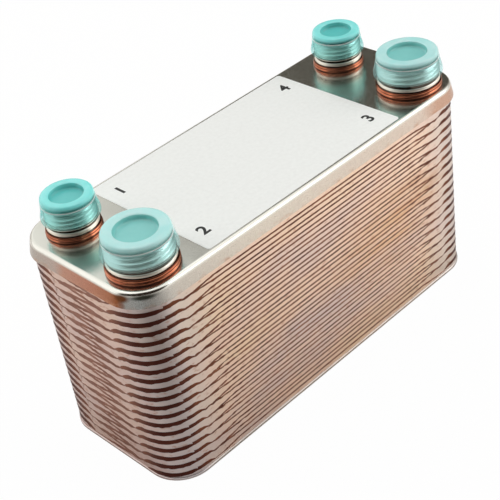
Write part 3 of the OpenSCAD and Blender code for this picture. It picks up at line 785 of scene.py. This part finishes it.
def stub_steel(name, kind):
    """Stainless of roughness 0.1, with painted shade in the grooves, a painted highlight on the softer
    land and ridge, and a paler, softer thread.
    """
    material, tree, place_on = new_material(name)
    height = add(tree, "SeparateXYZ", (place_on,), "Z")
    lines = clouds(tree, place_on, (60, 60, 5000), 2.0)  # lathe lines, 0.2 mm apart

    def band(low, high, soft=0.1):
        """1 between two heights over the cover."""
        low, high = COVER_TOP + low, COVER_TOP + high
        return where(tree, (height, (low - soft) * MM, (low + soft) * MM),
                     (height, (high - soft) * MM, (high + soft) * MM, 1.0, 0.0))

    (land_low, land_high), (ridge_low, ridge_high) = kind["land"], kind["ridge"]
    # painted shade and reflection: the grooves under the cap darkened, for its shadow and the dark room
    # they mirror
    groove_shade = either(tree, band(land_high, ridge_low), band(land_low - 0.4, land_low),
                  band(ridge_high, ridge_high + 0.4))
    # painted highlight: pale bands on the land and the ridge
    highlight_bands = either(tree, band(land_low, land_high), band(ridge_low, ridge_high))
    thread = where(tree, (height, (COVER_TOP + THREAD_FROM) * MM, (COVER_TOP + THREAD_FULL) * MM))
    bar = add(tree, "ValToRGB", (lines,), stops=[(0.3, "#cfc9bf"), (0.7, "#dcd7cf")])
    colour = coats(tree, bar, (highlight_bands, "#f3ebdf"), (thread, "#f4f4ee"), (groove_shade, "#5d534b"))
    rough = add(tree, "Math", (lines, 0.09, 0.07), operation="MULTIPLY_ADD")
    rough = add(tree, "Math", (highlight_bands, 0.3, rough), operation="MULTIPLY_ADD")
    rough = add(tree, "Math", (thread, 0.2, rough), operation="MULTIPLY_ADD")
    shader = add(tree, "BsdfPrincipled", {"Base Color": colour, "Metallic": 1.0, "Roughness": rough})
    add(tree, "OutputMaterial", (shader,))
    return material


wort_steel = stub_steel("turned_stainless_wort", WORT)
water_steel = stub_steel("turned_stainless_water", WATER)
for port, stub in stubs.items():
    dress(stub, wort_steel if PORTS[port][2] is WORT else water_steel)
print("dressed the stubs")

# %% [markdown]
# ## The copper rings
# The copper round each stub's foot froze as two soft beads. A torus would be too perfect: the profile
# of two arcs is turned, and three slow sines make its radius and height drift as flowed metal does.

# %% Copper rings
def make_ring(port, count=128):
    """Two beads, each centre + bead radius x (cos, sin), turned round the stub and left to drift."""
    x, y, kind = PORTS[port]
    r, ring_h = kind["thread_r"], kind["ring_h"]
    bead, upper_bead = 0.28 * ring_h, 0.24 * ring_h
    turn = np.linspace(-math.pi / 2 + 0.05, 1.25, 26)
    low = np.stack([r + 0.84 - bead + bead * np.cos(turn), bead + bead * np.sin(turn)], -1)
    turn = np.linspace(-0.55, math.pi / 2, 22)
    high = np.stack([r + 0.06 + upper_bead * np.cos(turn),
                     ring_h - upper_bead + upper_bead * np.sin(turn)], -1)
    profile = np.concatenate([[[r - 0.1, 0.0]], low, high, [[r - 0.1, ring_h]]])
    profile[:, 1] = np.maximum(profile[:, 1], 0.0)

    def flow(angle, height, radius):
        """Radius + three sines of the angle - 0.03 on the outer face; height x (0.97 + 0.03 sine)."""
        drift = (0.03 * np.sin(3 * angle + x) + 0.02 * np.sin(7 * angle + 2 * y)
                 + 0.012 * np.sin(17 * angle + r))
        outer = np.clip((radius - r) / 0.3, 0, 1)
        return radius + (drift - 0.03) * outer, height * (1 + 0.03 * np.sin(2 * angle + y) - 0.03)

    faces = grid_faces(count, len(profile), True, True)[:, ::-1]
    points = turned(profile, x, y, COVER_TOP, count, flow)
    piece = make_piece(f"copper_ring_{port}", points, faces, smooth_angle=70)
    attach(piece, "chiller")
    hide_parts(f"braze_ring_{port}")
    return piece


ring_copper = {ring_h: flowed_copper(f"flowed_copper_ring_{ring_h:.1f}", "#dc9474", "#c4795a", "#a55c42",
                                     0.14, ring_h) for ring_h in (WORT["ring_h"], WATER["ring_h"])}
for port, (_, _, kind) in PORTS.items():
    dress(make_ring(port), ring_copper[kind["ring_h"]])
print("made", len(PORTS), "copper rings")

# %% [markdown]
# ## The caps
# The caps are thin moulded polyethylene, pushed over the threads. Moulded edges are soft, which a
# subdivision surface would give too, but it pulls a thin wall out of true. Here the profile itself is
# rounded before it is turned. Where it ends on the axis, the points that meet are merged into one.

# %% Rounded profiles and closed poles
def smoothed(points, count):
    """Resamples a polyline to even steps and rounds it by averaging neighbours twice: 1/4, 1/2, 1/4."""
    points = np.asarray(points, float)
    reach = np.concatenate([[0], np.cumsum(np.hypot(*np.diff(points, axis=0).T))])
    s = np.linspace(0, reach[-1], count)
    even = np.stack([np.interp(s, reach, points[:, k]) for k in (0, 1)], -1)
    for _ in range(2):
        even[1:-1] = 0.25 * even[:-2] + 0.5 * even[1:-1] + 0.25 * even[2:]
    return even


def close_poles(mesh):
    """Merges the points on the axis and turns every face outwards."""
    work = bmesh.new()
    work.from_mesh(mesh)
    bmesh.ops.remove_doubles(work, verts=work.verts, dist=1e-6)
    bmesh.ops.delete(work, geom=[f for f in work.faces if f.calc_area() < 1e-14], context="FACES_ONLY")
    bmesh.ops.recalc_face_normals(work, faces=work.faces)
    work.to_mesh(mesh)
    work.free()
    mesh.shade_smooth()


print("a right angle rounds to", smoothed([(0, 0), (1, 0), (1, 1)], 5).round(2).tolist())

# %% [markdown]
# The plastic lets light through and blurs it, so the thread shows as soft bands. A single skin would
# only look painted, so each cap is a closed shell with a real wall: outside, crown, recess and inside in
# one turned loop.

# %% Caps
CAP_LOW, CAP_CEILING, CAP_FLOOR, CAP_TOP = 6.2, 12.5, 13.6, 16.0
# painted highlight: heights of a whiter line painted round the wall, a glint fixed in place
HIGHLIGHT_LOW, HIGHLIGHT_HIGH = 12.9, 13.6  # a whiter line where the wall was pressed to the ceiling


def make_cap(port, count=112):
    """Outline from the mouth up to the recess floor, then the hollow from its ceiling back down, turned.
    Faces within the recess get the second material."""
    x, y, kind = PORTS[port]
    r, recess, small = kind["thread_r"], kind["recess_r"], kind is WORT
    crown = r + (-0.1 if small else -0.35)
    inner, outer = r + 0.6, r + 1.3
    outline = [(inner + 0.25, CAP_LOW + 0.02), (outer - 0.12, CAP_LOW + 0.02),
               (outer - 0.01, CAP_LOW + 0.25), (outer - 0.03, CAP_LOW + 1.5), (outer - 0.25, 8.5),
               (r + 0.64, 9.9), (r + 0.5, 10.6), (crown + 0.29, 13.1), (crown + 0.05, 15.0),
               (crown - 0.10, 15.55), (crown - 0.45, 15.88), (crown - 0.9, CAP_TOP - 0.02),
               (recess + 0.5, CAP_TOP - 0.04), (recess + 0.15, 15.85), (recess, 15.5),
               (recess - 0.15, CAP_FLOOR + 0.3), (recess - 0.5, CAP_FLOOR + 0.02), (0.0, CAP_FLOOR)]
    hollow = [(0.0, CAP_CEILING), (r - 0.75, CAP_CEILING), (r - 0.4, CAP_CEILING - 0.15),
              (r - 0.08, 11.2), (r + 0.05, 9.95), (inner, 9.45), (inner + 0.02, CAP_LOW + 0.3)]
    outline, hollow = smoothed(outline, 72), smoothed(hollow, 30)
    outline[-1, 0] = hollow[0, 0] = 0.0
    profile = np.concatenate([outline, hollow])
    faces = grid_faces(count, len(profile), True, True)[:, ::-1]
    points = turned(profile, x, y, COVER_TOP, count)
    piece = make_piece(f"push_on_cap_{port}", points, faces, smooth_angle=0)
    close_poles(piece.data)
    middles = np.empty(len(piece.data.polygons) * 3)
    piece.data.polygons.foreach_get("center", middles)
    middles = middles.reshape(-1, 3) / MM - [x, y, COVER_TOP]
    from_axis, height = np.hypot(middles[:, 0], middles[:, 1]), middles[:, 2]
    sunk = (from_axis < recess + 0.1) & (height > CAP_FLOOR - 0.6) & (height < CAP_FLOOR + 2)
    for _ in range(2):
        piece.data.materials.append(None)
    piece.data.polygons.foreach_set("material_index", sunk.astype(int))
    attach(piece, f"cap_{port}_body")
    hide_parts(f"cap_{port}")
    return piece


caps = {port: make_cap(port) for port in PORTS}
print("moulded", len(caps), "caps, each of", len(caps["wort_in"].data.polygons), "faces")

# %% [markdown]
# Polyethylene is waxy: light goes straight through the thin wall, tinted, and scatters in the thick
# crown, all under a soft gloss. Real refraction would need many bounces and turn dark, so a transparent
# share is mixed with a waxy body, less of it edge-on and in the crown. A painted highlight, a whiter line,
# goes round where the wall meets the ceiling.

# %% Moulded polyethylene
def cap_plastic(name, wall, milk, crown_milk, see_through=0.9):
    """See-through share of clear wall, the rest a waxy body of IOR 1.51 with light scattered inside."""
    material, tree, place_on = new_material(name)
    height = add(tree, "SeparateXYZ", (place_on,), "Z")
    cloud = clouds(tree, place_on, (120, 120, 120))  # cloudiness, 8 mm
    facing = add(tree, "LayerWeight", {"Blend": 0.3}, "Facing")
    thin = where(tree, (height, (COVER_TOP + CAP_CEILING + 1.0) * MM, (COVER_TOP + CAP_FLOOR + 1.6) * MM,
                        see_through, 0.06), (facing, 0.35, 0.95, 1.0, 0.35))
    colour = add(tree, "ValToRGB", (cloud,), stops=[(0.3, milk), (0.7, crown_milk)])
    if see_through:
        # painted highlight: a whiter, less clear line round the wall
        low, high = COVER_TOP + HIGHLIGHT_LOW, COVER_TOP + HIGHLIGHT_HIGH
        highlight_line = where(tree, (height, low * MM, (low + 0.2) * MM), (height, high * MM, (high - 0.2) * MM))
        colour = coats(tree, colour, (highlight_line, "#fbffff"))
        thin = where(tree, thin, add(tree, "Math", (highlight_line, -0.8, 1.0), operation="MULTIPLY_ADD"))
    rough = add(tree, "MapRange", (cloud, 0, 1, 0.16, 0.26))
    waxy = add(tree, "BsdfPrincipled", {
        "Base Color": colour, "Roughness": rough, "IOR": 1.51, "Subsurface Weight": 0.4,
        "Subsurface Radius": (0.7, 1.0, 1.0), "Subsurface Scale": 0.003})
    clear = add(tree, "BsdfTransparent", {"Color": wall})
    add(tree, "OutputMaterial", (add(tree, "MixShader", (thin, waxy, clear)),))
    return material


# the recess finishes are the same plastic, darker and with nothing seen through: painted shade for the dark
# bore under the recess floor
small_finish = [cap_plastic("moulded_polyethylene_small", "#e6f8f8", "#8cf2ee", "#a0faf7"),
                cap_plastic("small_cap_recess_shaded", "#e6f8f8", "#68cecb", "#70d6d3", 0.0)]
large_finish = [cap_plastic("moulded_polyethylene_large", "#eefafb", "#baf4f2", "#d0faf8"),
                cap_plastic("large_cap_recess_shaded", "#eefafb", "#8cd6d2", "#94dcd8", 0.0)]
for port, cap in caps.items():
    dress(cap, *(small_finish if PORTS[port][2] is WORT else large_finish))
print("dressed the caps")

# %% [markdown]
# ## The label
# The label is printed plastic film: matt white, with the faint tooth that takes the ink. The solid model
# gives its shape. It carries only plain port numbers, which an image could paint on, but thin raised
# pieces stay sharp at any size. Text starts as a curve object and is made a mesh first.

# %% Film and ink
def label_film():
    """Matt film of IOR 1.46, with a tooth of 2 mm, coarser than the real one so that it shows."""
    material, tree, place_on = new_material("matt_white_film")
    tooth = add(tree, "TexNoise", {"Vector": place_on, "Scale": 600.0, "Detail": 3.0})
    colour = add(tree, "ValToRGB", (tooth,), stops=[(0.3, "#f5f6f4"), (0.7, "#fbfcfa")])
    rough = add(tree, "MapRange", (tooth, 0, 1, 0.48, 0.6))
    bump = add(tree, "Bump", {"Height": tooth, "Strength": 0.02, "Distance": 0.0001})
    shader = add(tree, "BsdfPrincipled", {"Base Color": colour, "Roughness": rough, "IOR": 1.46,
                                          "Normal": bump})
    add(tree, "OutputMaterial", (shader,))
    return material


def print_ink():
    """Screen ink: black, half matt, a little uneven at 0.7 mm."""
    material, tree, place_on = new_material("black_screen_ink")
    speck = add(tree, "TexNoise", {"Vector": place_on, "Scale": 1500.0})
    colour = add(tree, "ValToRGB", (speck,), stops=[(0.3, "#141414"), (0.7, "#242424")])
    shader = add(tree, "BsdfPrincipled", {"Base Color": colour, "Roughness": 0.45})
    add(tree, "OutputMaterial", (shader,))
    return material


dress(nodes["label"], label_film())
ink = print_ink()
print("dressed the label")

# %% [markdown]
# Each number lies beside its port, 8 mm high. It is raised by a hundredth of a millimetre, as thick
# ink is, and its outline is pushed out a little to make the strokes bold.

# %% Port numbers
LABEL_T = 0.15
NUMBER_PLACES = [(-50, 24), (-50, -24), (45.5, -24), (45.5, 24)]


def make_number(number, x, y, size=8):
    """A number as a thin raised mesh on the label, its place in its mesh."""
    name = f"port_number_{number}"
    curve = bpy.data.curves.new(name, "FONT")
    curve.body = str(number)
    curve.size = size * MM
    curve.align_x, curve.align_y = "CENTER", "CENTER"
    curve.extrude = 0.012 * MM
    curve.offset = 0.22 * MM
    holder = bpy.data.objects.new(name, curve)
    bpy.context.scene.collection.objects.link(holder)
    mesh = bpy.data.meshes.new_from_object(holder)
    bpy.data.objects.remove(holder)
    mesh.transform(Matrix.Translation(Vector((x, y, COVER_TOP + LABEL_T)) * MM))
    piece = bpy.data.objects.new(name, mesh)
    bpy.context.scene.collection.objects.link(piece)
    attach(piece, "chiller")
    dress(piece, ink)


for number, (x, y) in enumerate(NUMBER_PLACES, 1):
    make_number(number, x, y)
print("printed", len(NUMBER_PLACES), "port numbers")

# %% [markdown]
# ## Floor and lamps
# The floor is a plain white table top. The camera sees it as even white, through Light Path's Is Camera
# Ray, while the metal sees a floor with a painted shade, greyer in front. A backdrop picture could do this
# too, but wouldn't take the object's shadow. Two large soft boxes give the light its direction.

# %% Floor and lamps
def floor_finish():
    """Matt white lacquer, shaded by distance from a place in front; 98% plain white to the camera."""
    material, tree, place_on = new_material("white_table_top")
    front = Vector((-260, -300, 0)) * MM
    from_front = add(tree, "VectorMath", (place_on, front), "Value", operation="DISTANCE")
    # painted shade: the floor grey near the camera, so that the steel mirrors a dark front
    colour = add(tree, "ValToRGB", (from_front,), stops=[(0.06, "#8c8580"), (0.40, "#fcf8f5")])
    lacquer = add(tree, "BsdfPrincipled", {"Base Color": colour, "Roughness": 0.6})
    glow = add(tree, "Emission", {"Color": (1, 1, 1, 1), "Strength": 1.0})
    seen = where(tree, add(tree, "LightPath", out="Is Camera Ray"), 0.98)
    add(tree, "OutputMaterial", (add(tree, "MixShader", (seen, lacquer, glow)),))
    return material


FLOOR_R, FLOOR_Z = 1500, -0.05
angle = np.linspace(0, 2 * math.pi, 64, endpoint=False)
floor_points = np.stack([FLOOR_R * np.cos(angle), FLOOR_R * np.sin(angle), 0 * angle + FLOOR_Z], -1)
floor = make_piece("floor", floor_points, [range(64)], smooth_angle=0)
dress(floor, floor_finish())


def lamp(name, position, aim_at, width, height, watts):
    """A soft box: an area lamp turned to face a point, its sizes in millimetres."""
    light = bpy.data.lights.new(name, "AREA")
    light.shape = "RECTANGLE"
    light.size, light.size_y = width * MM, height * MM
    light.energy = watts
    holder = bpy.data.objects.new(name, light)
    bpy.context.scene.collection.objects.link(holder)
    facing = (Vector(aim_at) - Vector(position)).to_track_quat("-Z", "Y").to_matrix().to_4x4()
    holder.matrix_world = Matrix.Translation(Vector(position) * MM) @ facing


lamp("overhead_box", (-150, 150, 1300), (0, 0, 50), 1100, 900, 1.0)
lamp("right_box", (900, -900, 750), (0, 0, 60), 900, 700, 4)
print("laid the floor and hung 2 lamps")

# %% [markdown]
# ## The room
# A polished sheet shows what stands round it, so the room matters as much as the lamps. A studio picture
# could surround it, but a few soft patches in plain directions do, each laid over the last: a bright
# ceiling, a soft box on each side, a pale wall, and the dark places that the steel mirrors. Only Is
# Camera Ray turns them plain white. With Is Glossy Ray added, the steel would mirror nothing but white.

# %% Room
ROOM = [  # direction, degrees off it where the patch starts and is full, and its light
    ((-0.05, 0.2, 1), 56, 36, (1.3, 1.3, 1.27, 1)),  # bright ceiling
    ((0, 0, 1), 26, 16, (1.0, 1.0, 0.98, 1)),  # plainer white straight above
    ((0.58, -0.68, 0.45), 52, 30, (1.15, 1.15, 1.13, 1)),  # soft box on the right
    ((-0.58, 0.66, 0.50), 48, 28, (1.25, 1.25, 1.23, 1)),  # soft box on the left
    ((0.28, 0.79, 0.54), 30, 14, (1.05, 1.07, 1.04, 1)),  # pale wall at the back
    ((0.79, 0.50, 0.37), 30, 14, "#46433b"),  # dark doorway past the far end
    ((-0.58, -0.68, 0.40), 52, 34, "#2b221c"),  # unlit side of the room, behind the camera
    ((-0.92, -0.15, 0.45), 34, 18, "#2b221c"),
    ((0.0, -0.90, 0.45), 30, 16, "#2b221c"),
]


def toward(tree, direction, start, full):
    """0 to 1 as the ray's direction comes within an angle of the given one: the dot product of the two,
    run from cos(start) to cos(full)."""
    look = add(tree, "TexCoord", out="Generated")
    dot = add(tree, "VectorMath", (look, Vector(direction).normalized()), "Value", operation="DOT_PRODUCT")
    return where(tree, (dot, math.cos(math.radians(start)), math.cos(math.radians(full))))


def room_light():
    """Grey walls with the room's patches over them, and plain white where the camera sees it."""
    world = bpy.data.worlds.new("room")
    bpy.context.scene.world = world
    world.use_nodes = True
    tree = world.node_tree
    tree.nodes.clear()
    patches = [(toward(tree, direction, start, full), light) for direction, start, full, light in ROOM]
    room = coats(tree, "#a9a69f", *patches, (add(tree, "LightPath", out="Is Camera Ray"), (1, 1, 1, 1)))
    backdrop = add(tree, "Background", {"Color": room, "Strength": 1.0})
    add(tree, "OutputWorld", (backdrop,))


room_light()
bpy.context.scene.view_settings.view_transform = "Standard"
print("room of", len(ROOM), "patches")
